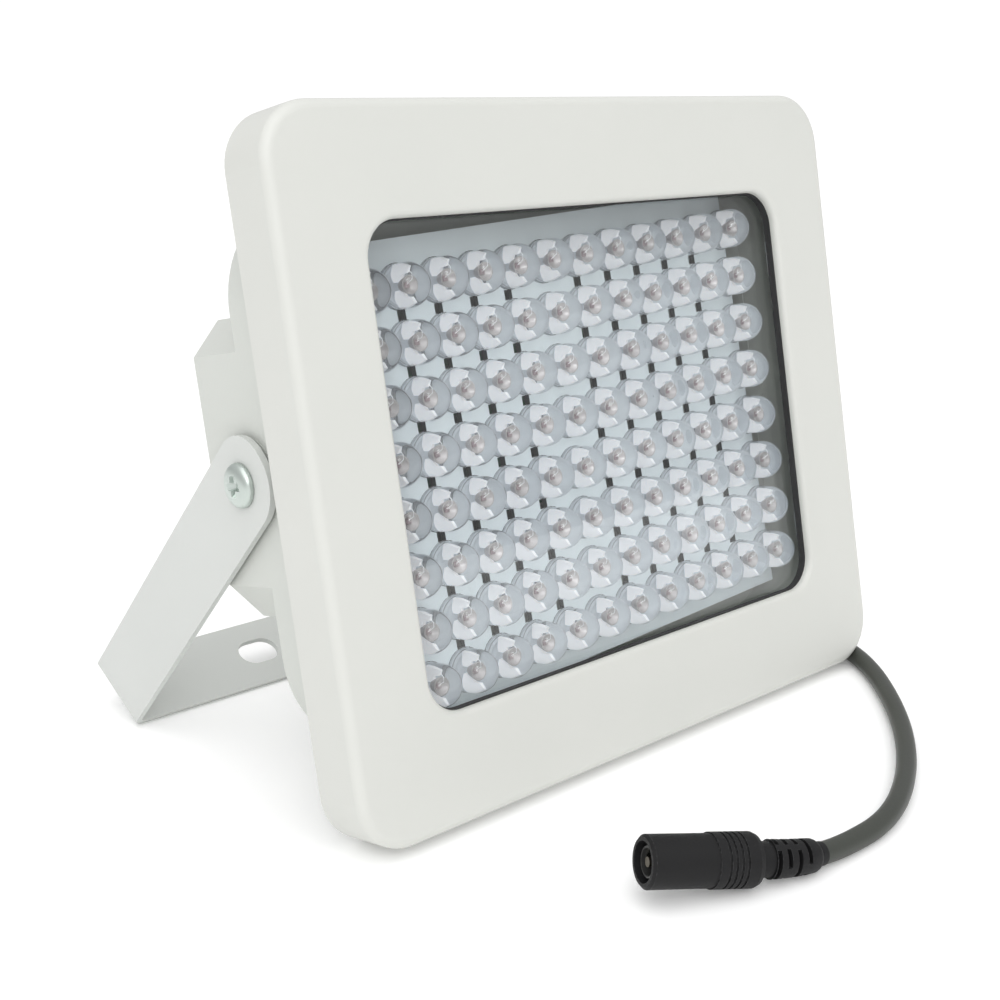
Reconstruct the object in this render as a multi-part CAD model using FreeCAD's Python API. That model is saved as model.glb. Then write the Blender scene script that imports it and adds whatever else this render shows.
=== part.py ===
import FreeCAD, Part
import math
import os

# Infrared illuminator head on a folded bracket, standing on a table, with a short power lead.
# The head is drawn flat first: x to the right, y up its face, z out of its front, z = 0 on the face.
# It is then leaned back and set on the table: x right, y away from the viewer, z up. Sizes in mm.

# Stance
lean_deg = 11.2                # how far the head leans back

# Bezel
bezel_width = 175.0
bezel_height = 152.5
bezel_depth = 14.25
bezel_corner = 12.5
bezel_wall = 2.6
face_thickness = 2.0
front_round = 2.2
frame_side = 21.8              # from the bezel's sides to the window
frame_end = 24.375             # from its top and bottom to the window
window_corner = 8.5
window_lip_round = 1.4

# Glass and its seal, clips and posts
seal_thickness = 1.8
seal_overhang = 0.3            # the seal shows this far inside the window's edge
glass_thickness = 3.0
glass_lap = 6.6                # the glass reaches this far past the window's edge
post_diameter = 6.0
post_gap = 1.0                 # from the glass's edge to a post
post_inset = 16.875            # from the window's top and bottom to the posts' middles
clip_length = 11.0
clip_width = 9.0
clip_thickness = 1.0
small_screw_diameter = 3.0
small_head_diameter = 5.5
small_head_height = 2.0
small_thread_length = 5.0
post_thread_length = 4.0
screw_clearance = 0.1          # round a screw in its hole, on the radius
screw_end_gap = 0.4            # left below the tip of a small screw
crown_share = 0.35             # part of a screw head's height that is rounded off
crown_flat = 0.62              # flat top of a screw head, as a share of its width

# Housing
flange_gap = 0.5               # between flange and rim wall
flange_thickness = 3.0
pan_inset_side = 4.6           # from the bezel's sides to the pan's
pan_inset_end = 14.25          # from its top and bottom to the pan's
pan_corner = 25.0
pan_depth = 29.4               # from the face to the pan's back
pan_round = 2.0
pan_wall = 2.2
floor_wall = 2.5
box_height = 66.7
box_offset = 3.3               # middle of the box above the middle of the head
box_bevel = 7.4
box_bevel_low = 8.8            # height of the two lower bevels
box_depth = 46.3               # from the face to the box's back
box_round = 1.5
box_bevel_thinner = 1.0        # the bevels inside are smaller by this much
rib_wall = 2.0
gasket_thickness = 1.5
rib_gap = 0.8                  # from the pan's cavity to the rib and its gasket
clip_gap = 0.8                 # between the glass clips and the flange's plane
bezel_screw_diameter = 4.0
bezel_screw_head = 7.5
bezel_screw_head_height = 2.4
bezel_screw_thread = 5.0
bezel_screw_inset = 25.5       # from the bezel's sides to the outer screws
bezel_boss_diameter = 8.0

# Lamps and their board
lamp_columns = 12
lamp_rows = 8
lamp_margin_x = 1.5            # window left over beside the lamps, both sides together
lamp_margin_y = 7.09
lamp_diameter = 10.0
lamp_body = 4.0                # straight part below the dome
collar_diameter = 10.6
collar_height = 0.9
grid_x = 3.0                   # middle of the lamps from the middle of the window
grid_y = -2.3
board_turn = 2.84              # the board sits slightly turned in its plane
board_margin_x = 1.8           # from the outer lamps' middles to the board's sides
board_margin_top = 10.45       # and to its top and bottom
board_margin_bottom = 9.15
board_front = 16.6             # from the face back to the board
board_thickness = 1.6
board_hole = 2.3
hole_closer = 0.33             # the holes of a group stand closer together than the lamps
pad_size = 12.0
pad_inset = 10.0
pad_end_gap = 1.0

# Driver in the rear box
driver_width = 96.0
driver_height = 44.0
driver_side_gap = 10.4         # from the box's left wall to the board
driver_standoff = 6.0
driver_thickness = 1.6
driver_boss_diameter = 6.5
driver_screw_inset = 4.5
part_round = 0.7               # rounded rims of the choke and the cans
choke_diameter = 14.0
choke_height = 8.0
choke_bore = 6.0
capacitor_diameter = 8.0
capacitor_height = 9.5
capacitor_pitch = 12.0
transistor_width = 10.0
transistor_height = 9.0
transistor_thickness = 4.4
transistor_pitch = 16.0
wire_diameter = 1.6
wire_pitch = 3.0
wire_bend = 3.2
lamp_wire_x = 14.0
lamp_wire_shift = 4.0          # the lamp lead's sideways step, half of its height
lead_land_inset = 4.0          # where the inner lead meets the driver board, from its right end
lead_rise = 7.0                # how far the inner lead arches above the driver board

# Pivot and bracket
pivot_up = 1.5                 # above the middle of the head
pivot_back = 29.4              # from the face
pivot_pad_diameter = 20.0
pivot_pad_proud = 0.1
pivot_boss_diameter = 13.0
pivot_boss_length = 9.0
pivot_screw_diameter = 5.0
pivot_thread_length = 9.0      # in the housing
pivot_tip_gap = 0.6            # left below the screw's tip
pivot_head_diameter = 9.8
pivot_head_height = 2.3
pivot_recess_width = 1.2
pivot_recess_span = 5.4
pivot_recess_depth = 1.3
pivot_play = 0.08              # running fit of the arm on its screw, on the radius
joint_gap = 0.1                # at each side of an arm
washer_thickness = 0.8
washer_diameter = 14.0
strip_thickness = 1.5
strip_width = 20.5
strip_bend = 1.2               # inside radius of the folds
arm_reach = 94.0               # from the pivot to the outside of the crossbar, along the arms' middle
fold_skew = 14.4               # the crossbar leans by this much from square to the arms
arm_tail = 10.3                # from the pivot to the arm's free end
arm_end_round = 9.6
slot_length = 11.5
slot_width = 8.0
slot_spread = 42.4             # slot middle from the middle of the bracket
middle_hole = 8.5

# Cable gland under the rear box
gland_side = 30.9              # from the box's right side to the gland's middle
gland_thread = 10.0
gland_flats = 13.0
gland_flange = 4.5
gland_nut_length = 8.5
gland_nut_hex = 0.65           # share of the nut's length that is hexagonal
gland_nose = 0.6               # share of the nut's length that the thread reaches into
gland_nut_step = 0.3           # the round end of the nut stands in from its flats
gland_seal_start = 1.0
gland_nut_round = 1.5
gland_washer_thickness = 1.2
gland_locknut_height = 3.5
gland_bore = 6.4
gland_fit = 0.05               # round the gland's threads and its seal, on the radius
gland_side_gap = 0.5           # from the locknut to the box's back wall, inside

# Power lead
cord_diameter = 4.7
cord_lift = 0.1
# Points on the table, x from the bezel's right side
cord_route = [(-25.7, 26.6), (-12.0, 27.6), (-2.2, 21.0), (2.6, 10.1), (-3.0, -15.6), (-30.1, -42.8),
              (-53.2, -62.7), (-79.0, -76.0)]
gland_run = 14.5               # straight run of the cord below the gland
plug_run = 5.5                 # straight run of the cord behind the boot

# In-line socket at the end of the lead
socket_x = -119.3              # middle of the sleeve's back end, from the bezel's right side
socket_y = -68.1
socket_heading = 155.5         # way the mouth points, degrees from x
socket_tilt = 8.5              # the mouth is lifted: the sleeve's back edge and the cord lie on the table
boot_turn = 17.0               # the boot bends by this much
boot_length = 13.2
boot_rings = 5
boot_ring_length = 1.25
boot_start_diameter = 8.2
boot_end_diameter = 6.4
boot_core_diameter = 5.6
neck_length = 3.2
neck_diameter = 7.2
sleeve_length = 10.3
sleeve_diameter = 11.2
sleeve_shoulder = 1.4
shoulder_share = 0.3           # of the shoulder, where its rounding is steepest
sleeve_grooves = 4
groove_pitch = 1.3
groove_width = 0.5
groove_depth = 0.3
groove_end = 1.9               # from the sleeve's front end to the first groove
barrel_length = 14.3
barrel_diameter = 10.7
barrel_round = 0.6
socket_bore = 8.2
socket_depth = 11.0
insert_diameter = 6.2
insert_wall = 0.35
insert_base = 2.0
insert_fit = 0.03
insert_back = 1.0              # the insert stands back from the socket's mouth
contact_thickness = 0.25
contact_length = 7.0
contact_sweep = 70.0
pin_diameter = 2.0
pin_length = 8.0

lean = math.radians(lean_deg)


def vec(x, y, z):
    return FreeCAD.Vector(x, y, z)


def outline(width, height, radius):
    """Rounded rectangle in the xy plane, as a wire."""
    a, b, r = width / 2, height / 2, radius
    d = r * math.sqrt(0.5)
    edges = []
    corners = [(a - r, b - r, 1, 1), (-a + r, b - r, -1, 1), (-a + r, -b + r, -1, -1), (a - r, -b + r, 1, -1)]
    ends = []
    for cx, cy, sx, sy in corners:
        first, last = vec(cx + sx * r, cy, 0), vec(cx, cy + sy * r, 0)
        if sx * sy < 0:
            first, last = last, first
        edges.append(Part.Arc(first, vec(cx + sx * d, cy + sy * d, 0), last).toShape())
        ends.append((first, last))
    for i in range(4):
        edges.append(Part.makeLine(ends[i][1], ends[(i + 1) % 4][0]))
    return Part.Wire(Part.__sortEdges__(edges))


def slab(width, height, radius, z_low, z_high):
    """Rounded rectangular plate between two heights."""
    face = Part.Face(outline(width, height, radius))
    face.translate(vec(0, 0, z_low))
    return face.extrude(vec(0, 0, z_high - z_low))


def bevelled(width, height, bevel, low_bevel, z_low, z_high):
    """Rectangular block with its four corners cut off, the lower two higher up."""
    a, b, c, d = width / 2, height / 2, bevel, low_bevel
    points = [(a, -b + d), (a, b - c), (a - c, b), (-a + c, b), (-a, b - c), (-a, -b + d), (-a + c, -b), (a - c, -b)]
    wire = Part.makePolygon([vec(x, y, z_low) for x, y in points + points[:1]])
    return Part.Face(wire).extrude(vec(0, 0, z_high - z_low))


def edges_at(shape, z):
    return [e for e in shape.Edges if abs(e.BoundBox.ZMin - z) < 1e-4 and abs(e.BoundBox.ZMax - z) < 1e-4]


def rod(radius, start, end):
    """Round bar between two points."""
    along = end.sub(start)
    return Part.makeCylinder(radius, along.Length, start, along)


def ring(outer, inner, start, end):
    return rod(outer, start, end).cut(rod(inner, start, end))


def turned(profile, start, along):
    """Solid of revolution: (distance, radius) pairs turned about the line from start."""
    wire = Part.makePolygon([vec(r, 0, t) for t, r in profile + profile[:1]])
    solid = Part.Face(wire).revolve(vec(0, 0, 0), vec(0, 0, 1), 360)
    return place_along(solid, start, along)


def place_along(shape, start, along):
    """Moves a shape drawn along z so that it lies along a line from start."""
    moved = shape.copy()
    moved.Placement = FreeCAD.Placement(start, FreeCAD.Rotation(vec(0, 0, 1), along)).multiply(moved.Placement)
    return moved


def hexagon(flats, start, along):
    """Hexagonal bar from start, as long as the vector along."""
    r = flats / math.sqrt(3)
    points = [vec(r * math.cos(math.radians(60 * i)), r * math.sin(math.radians(60 * i)), 0) for i in range(7)]
    return place_along(Part.Face(Part.makePolygon(points)).extrude(vec(0, 0, along.Length)), start, along)


def pan_screw(shank, head, head_height, length, seat, along):
    """Pan-head screw whose head sits on seat; along points from the seat into the hole."""
    crown = crown_share * head_height
    profile = [(length, 0), (length, shank), (0, shank), (0, head), (-head_height + crown, head),
               (-head_height, crown_flat * head), (-head_height, 0)]
    return turned(profile, seat, along)


def cross_recess(width, span, depth, seat, along, head_height):
    """Two crossed bars that are cut out of a screw head."""
    bars = []
    for a, b in ((span, width), (width, span)):
        bar = Part.makeBox(a, b, 2 * depth, vec(-a / 2, -b / 2, -head_height - depth))
        bars.append(bar)
    return place_along(bars[0].fuse(bars[1]), seat, along)


def in_board(x, y):
    """Board coordinates, about the middle of the lamps, to head coordinates."""
    t = math.radians(board_turn)
    return grid_x + x * math.cos(t) - y * math.sin(t), grid_y + x * math.sin(t) + y * math.cos(t)


# Sizes that follow from the bezel's
window_width = bezel_width - 2 * frame_side
window_height = bezel_height - 2 * frame_end
pan_width = bezel_width - 2 * pan_inset_side
pan_height = bezel_height - 2 * pan_inset_end
lamp_pitch_x = (window_width - lamp_margin_x - lamp_diameter) / (lamp_columns - 1)
lamp_pitch_y = (window_height - lamp_margin_y - lamp_diameter) / (lamp_rows - 1)

# Levels that several pieces share, all below the face
seal_back = face_thickness + seal_thickness
glass_back = seal_back + glass_thickness
flange_front = glass_back + clip_thickness + clip_gap
flange_back = flange_front + flange_thickness
cavity_floor = pan_depth - floor_wall
box_floor = box_depth - floor_wall
rib_end = flange_front - gasket_thickness
board_back = board_front + board_thickness
driver_back = box_floor - driver_standoff
driver_front = driver_back - driver_thickness

rim_inner_width = bezel_width - 2 * bezel_wall
rim_inner_height = bezel_height - 2 * bezel_wall
rim_inner_corner = bezel_corner - bezel_wall
cavity_width = pan_width - 2 * pan_wall
cavity_height = pan_height - 2 * pan_wall
cavity_corner = pan_corner - pan_wall
rib_width = cavity_width + 2 * rib_gap
rib_height = cavity_height + 2 * rib_gap
rib_corner = cavity_corner + rib_gap
glass_width = window_width + 2 * glass_lap
glass_height = window_height + 2 * glass_lap
glass_corner = window_corner + glass_lap
post_x = glass_width / 2 + post_gap + post_diameter / 2
bezel_screw_y = (pan_height / 2 + rim_inner_height / 2) / 2
bezel_screw_x = bezel_width / 2 - bezel_screw_inset
bezel_screw_points = [(x, s * bezel_screw_y) for s in (-1, 1) for x in (-bezel_screw_x, 0, bezel_screw_x)]
post_y = window_height / 2 - post_inset
post_points = [(sx * post_x, sy * post_y) for sx in (-1, 1) for sy in (-1, 1)]
clip_screw_length = clip_thickness + post_thread_length - screw_end_gap

box_width = pan_width
box_low = box_offset - box_height / 2
pivot_pad_face = pan_width / 2 + pivot_pad_proud
arm_inner = pivot_pad_face + washer_thickness + joint_gap
arm_outer = arm_inner + strip_thickness
screw_seat = arm_outer + joint_gap
gland_z = -(box_floor - gland_flats / 2 - gland_side_gap)
gland_y = box_low
gland_x = box_width / 2 - gland_side
driver_x = -box_width / 2 + floor_wall + driver_side_gap + driver_width / 2

driver_points = [(driver_x + sx * (driver_width / 2 - driver_screw_inset),
                  box_offset + sy * (driver_height / 2 - driver_screw_inset)) for sx in (-1, 1) for sy in (-1, 1)]


def front_bezel():
    body = slab(bezel_width, bezel_height, bezel_corner, -bezel_depth, 0)
    body = body.makeFillet(front_round, edges_at(body, 0))
    body = body.cut(slab(rim_inner_width, rim_inner_height, rim_inner_corner, -bezel_depth, -face_thickness))
    window = slab(window_width, window_height, window_corner, -face_thickness, 0)
    lip = edges_at(window, 0)
    body = body.cut(window)
    edge = [e for e in edges_at(body, 0) if e.BoundBox.XMax < window_width / 2 + 0.1
            and e.BoundBox.XMin > -window_width / 2 - 0.1 and e.BoundBox.YMax < window_height / 2 + 0.1
            and e.BoundBox.YMin > -window_height / 2 - 0.1]
    if len(edge) == len(lip):
        body = body.makeFillet(window_lip_round, edge)
    rib = slab(rib_width + 2 * rib_wall, rib_height + 2 * rib_wall, rib_corner + rib_wall, -rib_end, -face_thickness)
    body = body.fuse(rib.cut(slab(rib_width, rib_height, rib_corner, -rib_end, -face_thickness)))
    for x, y in bezel_screw_points:
        body = body.fuse(rod(bezel_boss_diameter / 2, vec(x, y, -face_thickness), vec(x, y, -flange_front)))
        body = body.cut(rod(bezel_screw_diameter / 2 + screw_clearance, vec(x, y, -flange_front),
                            vec(x, y, -flange_front + bezel_screw_thread)))
    for x, y in post_points:
        body = body.fuse(rod(post_diameter / 2, vec(x, y, -face_thickness), vec(x, y, -glass_back)))
        body = body.cut(rod(small_screw_diameter / 2 + screw_clearance, vec(x, y, -glass_back),
                            vec(x, y, -glass_back + post_thread_length)))
    return body.removeSplitter()


def glass_seal():
    outer = slab(glass_width, glass_height, glass_corner, -seal_back, -face_thickness)
    return outer.cut(slab(window_width - 2 * seal_overhang, window_height - 2 * seal_overhang,
                          window_corner - seal_overhang, -seal_back, -face_thickness))


def front_glass():
    return slab(glass_width, glass_height, glass_corner, -glass_back, -seal_back)


def glass_clips():
    clips = []
    for x, y in post_points:
        side = math.copysign(1, x)
        outer = x + side * post_diameter / 2
        low = min(outer, outer - side * clip_length)
        clip = Part.makeBox(clip_length, clip_width, clip_thickness,
                            vec(low, y - clip_width / 2, -glass_back - clip_thickness))
        hole = rod(small_screw_diameter / 2 + screw_clearance, vec(x, y, -glass_back - clip_thickness),
                   vec(x, y, -glass_back))
        clips.append(clip.cut(hole))
    return clips


def clip_screws():
    return [pan_screw(small_screw_diameter / 2, small_head_diameter / 2, small_head_height,
                      clip_screw_length, vec(x, y, -glass_back - clip_thickness),
                      vec(0, 0, 1)) for x, y in post_points]


def housing_gasket():
    outer = slab(rib_width + 2 * rib_wall, rib_height + 2 * rib_wall, rib_corner + rib_wall, -flange_front, -rib_end)
    return outer.cut(slab(rib_width, rib_height, rib_corner, -flange_front, -rib_end))


def rear_housing():
    body = slab(pan_width, pan_height, pan_corner, -pan_depth, -flange_front)
    body = body.makeFillet(pan_round, edges_at(body, -pan_depth))
    box = bevelled(box_width, box_height, box_bevel, box_bevel_low, -box_depth, -cavity_floor)
    box.translate(vec(0, box_offset, 0))
    box = box.makeFillet(box_round, edges_at(box, -box_depth))
    flange = slab(rim_inner_width - 2 * flange_gap, rim_inner_height - 2 * flange_gap,
                  rim_inner_corner - flange_gap, -flange_back, -flange_front)
    body = body.fuse(box).fuse(flange)
    for side in (-1, 1):
        inside = vec(side * (box_width / 2 - floor_wall / 2), pivot_up, -pivot_back)
        body = body.fuse(rod(pivot_pad_diameter / 2, inside, vec(side * pivot_pad_face, pivot_up, -pivot_back)))
    body = body.cut(slab(cavity_width, cavity_height, cavity_corner, -cavity_floor, -flange_front))
    room = bevelled(box_width - 2 * floor_wall, box_height - 2 * floor_wall, box_bevel - box_bevel_thinner,
                    box_bevel_low - box_bevel_thinner, -box_floor, -cavity_floor)
    room.translate(vec(0, box_offset, 0))
    body = body.cut(room)
    for side in (-1, 1):
        start = vec(side * (box_width / 2 - floor_wall), pivot_up, -pivot_back)
        body = body.fuse(rod(pivot_boss_diameter / 2, start, start.add(vec(-side * pivot_boss_length, 0, 0))))
        outer = vec(side * pivot_pad_face, pivot_up, -pivot_back)
        tip = outer - vec(side * (pivot_thread_length + pivot_tip_gap), 0, 0)
        body = body.cut(rod(pivot_screw_diameter / 2 + screw_clearance, outer, tip))
    for x, y in driver_points:
        body = body.fuse(rod(driver_boss_diameter / 2, vec(x, y, -box_floor), vec(x, y, -driver_back)))
        body = body.cut(rod(small_screw_diameter / 2 + screw_clearance, vec(x, y, -driver_back),
                            vec(x, y, -driver_back - small_thread_length)))
    for x, y in bezel_screw_points:
        body = body.cut(rod(bezel_screw_diameter / 2 + screw_clearance, vec(x, y, -flange_back),
                            vec(x, y, -flange_front)))
    body = body.cut(rod(gland_thread / 2 + gland_fit, vec(gland_x, gland_y, gland_z),
                        vec(gland_x, gland_y + floor_wall, gland_z)))
    return body.removeSplitter()


def bezel_screws():
    return [pan_screw(bezel_screw_diameter / 2, bezel_screw_head / 2, bezel_screw_head_height,
                      flange_thickness + bezel_screw_thread - screw_end_gap, vec(x, y, -flange_back), vec(0, 0, 1))
            for x, y in bezel_screw_points]


def lamp_points(row):
    y = ((lamp_rows - 1) / 2 - row) * lamp_pitch_y
    return [in_board((i - (lamp_columns - 1) / 2) * lamp_pitch_x, y) for i in range(lamp_columns)]


def lamp():
    """One clear lamp standing on the board: collar, straight body and dome."""
    r, c = lamp_diameter / 2, collar_diameter / 2
    base = Part.makeCylinder(c, collar_height, vec(0, 0, -board_front))
    body = Part.makeCylinder(r, lamp_body, vec(0, 0, -board_front))
    dome = Part.makeSphere(r, vec(0, 0, lamp_body - board_front), vec(0, 0, 1), 0, 90, 360)
    return base.fuse([body, dome]).removeSplitter()


def lamp_row(row):
    lamps = []
    one = lamp()
    for x, y in lamp_points(row):
        copy = one.copy()
        copy.translate(vec(x, y, 0))
        lamps.append(copy)
    return lamps


def lamp_board():
    width = (lamp_columns - 1) * lamp_pitch_x + 2 * board_margin_x
    top = (lamp_rows - 1) / 2 * lamp_pitch_y + board_margin_top
    bottom = (lamp_rows - 1) / 2 * lamp_pitch_y + board_margin_bottom
    board = Part.makeBox(width, top + bottom, board_thickness, vec(-width / 2, -bottom, -board_back))
    holes = []
    bare = lamp_columns // 2 - 1        # column without holes, between the two groups
    for first, count in ((1, bare - 1), (bare + 1, lamp_columns - bare - 2)):
        start = (first - (lamp_columns - 1) / 2) * lamp_pitch_x
        for i in range(count):
            x = start + i * (lamp_pitch_x - hole_closer)
            for j in range(1, lamp_rows):
                y = (j - lamp_rows / 2) * lamp_pitch_y
                holes.append(Part.makeBox(board_hole, board_hole, board_thickness,
                                          vec(x - board_hole / 2, y - board_hole / 2, -board_back)))
    board = board.cut(Part.makeCompound(holes))
    board.rotate(vec(0, 0, 0), vec(0, 0, 1), board_turn)
    board.translate(vec(grid_x, grid_y, 0))
    return board, (width, top, bottom)


def board_pads():
    width, top, bottom = lamp_board()[1]
    pads = []
    for x in (-width / 2 + pad_inset, width / 2 - pad_inset):
        for y in (-bottom + pad_size / 2 + pad_end_gap, top - pad_size / 2 - pad_end_gap):
            px, py = in_board(x, y)
            pad = Part.makeBox(pad_size, pad_size, cavity_floor - board_back,
                               vec(px - pad_size / 2, py - pad_size / 2, -cavity_floor))
            pads.append(pad)
    return pads


def driver_board():
    board = Part.makeBox(driver_width, driver_height, driver_thickness,
                         vec(driver_x - driver_width / 2, box_offset - driver_height / 2, -driver_back))
    for x, y in driver_points:
        board = board.cut(rod(small_screw_diameter / 2 + screw_clearance, vec(x, y, -driver_back),
                              vec(x, y, -driver_front)))
    return board


def driver_screws():
    return [pan_screw(small_screw_diameter / 2, small_head_diameter / 2, small_head_height,
                      driver_thickness + small_thread_length - screw_end_gap, vec(x, y, -driver_front), vec(0, 0, -1))
            for x, y in driver_points]


def choke():
    middle = vec(driver_x - driver_width / 4, box_offset, -driver_front)
    core = ring(choke_diameter / 2, choke_bore / 2, middle, middle.add(vec(0, 0, choke_height)))
    return core.makeFillet(part_round, edges_at(core, middle.z + choke_height))


def capacitors():
    cans = []
    for i in (-1, 0, 1):
        foot = vec(driver_x, box_offset + i * capacitor_pitch, -driver_front)
        can = rod(capacitor_diameter / 2, foot, foot.add(vec(0, 0, capacitor_height)))
        cans.append(can.makeFillet(part_round, edges_at(can, foot.z + capacitor_height)))
    return cans


def transistors():
    parts = []
    for i in (-1, 1):
        foot = vec(driver_x + driver_width / 4 - transistor_width / 2,
                   box_offset + i * transistor_pitch / 2 - transistor_thickness / 2, -driver_front)
        parts.append(Part.makeBox(transistor_width, transistor_thickness, transistor_height, foot))
    return parts


def tube(points, radius, bends):
    """Round cable along straight runs joined by tangent arcs of the given radii."""
    edges, at = [], points[0]
    for i in range(1, len(points) - 1):
        before = points[i - 1].sub(points[i]).normalize()
        after = points[i + 1].sub(points[i]).normalize()
        half = (math.pi - before.getAngle(after)) / 2
        reach = bends[i - 1] * math.tan(half)
        start, end = points[i] + before * reach, points[i] + after * reach
        inward = (before + after).normalize()
        centre = points[i] + inward * (bends[i - 1] / math.cos(half))
        edges.append(Part.makeLine(at, start))
        edges.append(Part.Arc(start, centre - inward * bends[i - 1], end).toShape())
        at = end
    edges.append(Part.makeLine(at, points[-1]))
    path = Part.Wire(edges)
    circle = Part.Wire(Part.makeCircle(radius, points[0], points[1].sub(points[0])))
    solid = path.makePipeShell([circle], True, False)
    return solid, path.Length


def wire_pair(points, spread):
    """Two round wires side by side, spread along y."""
    wires = []
    for s in (-0.5, 0.5):
        shifted = [p + vec(0, s * spread, 0) for p in points]
        wires.append(tube(shifted, wire_diameter / 2, [wire_bend] * (len(points) - 2))[0])
    return wires


def lamp_lead():
    x = driver_x + lamp_wire_x
    middle = -(driver_front + board_back) / 2
    step = lamp_wire_shift
    points = [vec(x, box_offset, -driver_front), vec(x, box_offset, middle - step),
              vec(x + step, box_offset, middle + step), vec(x + step, box_offset, -board_back)]
    return wire_pair(points, wire_pitch)


def inner_lead():
    top = gland_y + floor_wall + gland_locknut_height
    land = driver_x + driver_width / 2 - lead_land_inset
    inner = -driver_front + lead_rise
    wires = []
    for s in (-0.5, 0.5):
        dx = s * wire_pitch
        points = [vec(gland_x + dx, top, gland_z), vec(gland_x + dx, box_offset - dx, gland_z),
                  vec(gland_x + dx, box_offset - dx, inner), vec(land, box_offset - dx, inner),
                  vec(land, box_offset - dx, -driver_front)]
        wires.append(tube(points, wire_diameter / 2, [wire_bend] * (len(points) - 2))[0])
    return wires


def gland_frame():
    down = vec(0, -1, 0)
    return vec(gland_x, gland_y, gland_z), down


def gland_washer():
    at, down = gland_frame()
    return ring(gland_flats / 2, gland_thread / 2 + gland_fit, at, at + down * gland_washer_thickness)


def gland_body():
    at, down = gland_frame()
    seat = at + down * gland_washer_thickness
    body = hexagon(gland_flats, seat, down * gland_flange)
    thread_in = at - down * (floor_wall + gland_locknut_height)
    body = body.fuse(rod(gland_thread / 2, thread_in, seat))
    nose = seat + down * gland_flange
    body = body.fuse(rod(gland_thread / 2, nose, nose + down * (gland_nose * gland_nut_length)))
    return body.cut(rod(gland_bore / 2, thread_in, nose + down * gland_nut_length)).removeSplitter()


def gland_locknut():
    at, down = gland_frame()
    inside = at - down * floor_wall
    return hexagon(gland_flats, inside, down * -gland_locknut_height).cut(
        rod(gland_thread / 2 + gland_fit, inside, inside - down * gland_locknut_height))


def gland_nut():
    at, down = gland_frame()
    start = at + down * (gland_washer_thickness + gland_flange)
    nut = hexagon(gland_flats, start, down * (gland_nut_hex * gland_nut_length))
    dome = rod(gland_flats / 2 - gland_nut_step, start, start + down * gland_nut_length)
    tip = [e for e in dome.Edges if abs(e.BoundBox.YMin - e.BoundBox.YMax) < 1e-4
           and abs(e.BoundBox.YMin - (start.y - gland_nut_length)) < 1e-4]
    nut = nut.fuse(dome.makeFillet(gland_nut_round, tip))
    nut = nut.cut(rod(gland_thread / 2 + gland_fit, start, start + down * (gland_nut_hex * gland_nut_length)))
    return nut.cut(rod(gland_bore / 2, start, start + down * gland_nut_length)).removeSplitter()


def gland_seal():
    at, down = gland_frame()
    start = at + down * (gland_washer_thickness + gland_seal_start)
    end = at + down * (gland_washer_thickness + gland_flange + gland_nut_length)
    return rod(gland_bore / 2 - gland_fit, start, end)


def gland_exit():
    at, down = gland_frame()
    return at + down * (gland_washer_thickness + gland_flange + gland_nut_length), down


def pivot_screws():
    screws = []
    for side in (-1, 1):
        seat, inward = vec(side * screw_seat, pivot_up, -pivot_back), vec(-side, 0, 0)
        length = screw_seat - pivot_pad_face + pivot_thread_length
        screw = pan_screw(pivot_screw_diameter / 2, pivot_head_diameter / 2, pivot_head_height, length, seat, inward)
        screws.append(screw.cut(cross_recess(pivot_recess_width, pivot_recess_span, pivot_recess_depth, seat,
                                             inward, pivot_head_height)))
    return screws


def pivot_washers():
    washers = []
    for side in (-1, 1):
        start = vec(side * pivot_pad_face, pivot_up, -pivot_back)
        end = start + vec(side * washer_thickness, 0, 0)
        washers.append(ring(washer_diameter / 2, pivot_screw_diameter / 2 + pivot_play, start, end))
    return washers


def fold_edges(shape, level):
    """Upright edges where the arms meet the crossbar, at a level."""
    return [e for e in edges_at(shape, level) if abs(e.BoundBox.XMax - e.BoundBox.XMin) < 1e-4]


def bracket():
    """Folded strip drawn with its pivot at the origin and its arms along -z, strip width along y."""
    t, w, half, r = strip_thickness, strip_width, arm_outer, strip_bend
    cut = half - t
    skew = FreeCAD.Rotation(vec(1, 0, 0), -fold_skew)
    reach = arm_reach * math.cos(math.radians(fold_skew))
    height = arm_reach + 2 * w
    outer = Part.makeBox(2 * half, 4 * w, height, vec(-half, -2 * w, -reach))
    outer = outer.makeFillet(r + t, fold_edges(outer, -reach))
    inner = Part.makeBox(2 * cut, 4 * w, height, vec(-cut, -2 * w, -reach + t))
    strip = outer.cut(inner.makeFillet(r, fold_edges(inner, -reach + t)))
    strip.Placement = FreeCAD.Placement(vec(0, 0, 0), skew)
    strip = strip.common(Part.makeBox(2 * half, w, 2 * arm_reach + arm_tail, vec(-half, -w / 2, -2 * arm_reach)))
    tips = [e for e in edges_at(strip, arm_tail) if abs(e.BoundBox.YMin - e.BoundBox.YMax) < 1e-4]
    strip = strip.makeFillet(arm_end_round, tips)
    strip = strip.cut(rod(pivot_screw_diameter / 2 + pivot_play, vec(-half, 0, 0), vec(half, 0, 0)))
    holes = [rod(middle_hole / 2, vec(0, 0, -t), vec(0, 0, 2 * t))]
    for side in (-1, 1):
        slot = slab(slot_length, slot_width, slot_width / 2 - 0.001, -t, 2 * t)
        slot.translate(vec(side * slot_spread, 0, 0))
        holes.append(slot)
    for hole in holes:
        hole.Placement = FreeCAD.Placement(vec(0, 0, -arm_reach), skew).multiply(hole.Placement)
        strip = strip.cut(hole)
    return strip


def head_height():
    """Height of the head's own origin above the table: it stands on the bezel's lower back edge."""
    return bezel_height / 2 * math.cos(lean) + bezel_depth * math.sin(lean)


def pivot_place():
    y = math.sin(lean) * pivot_up + math.cos(lean) * pivot_back
    z = head_height() + math.cos(lean) * pivot_up - math.sin(lean) * pivot_back
    return y, z


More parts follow.
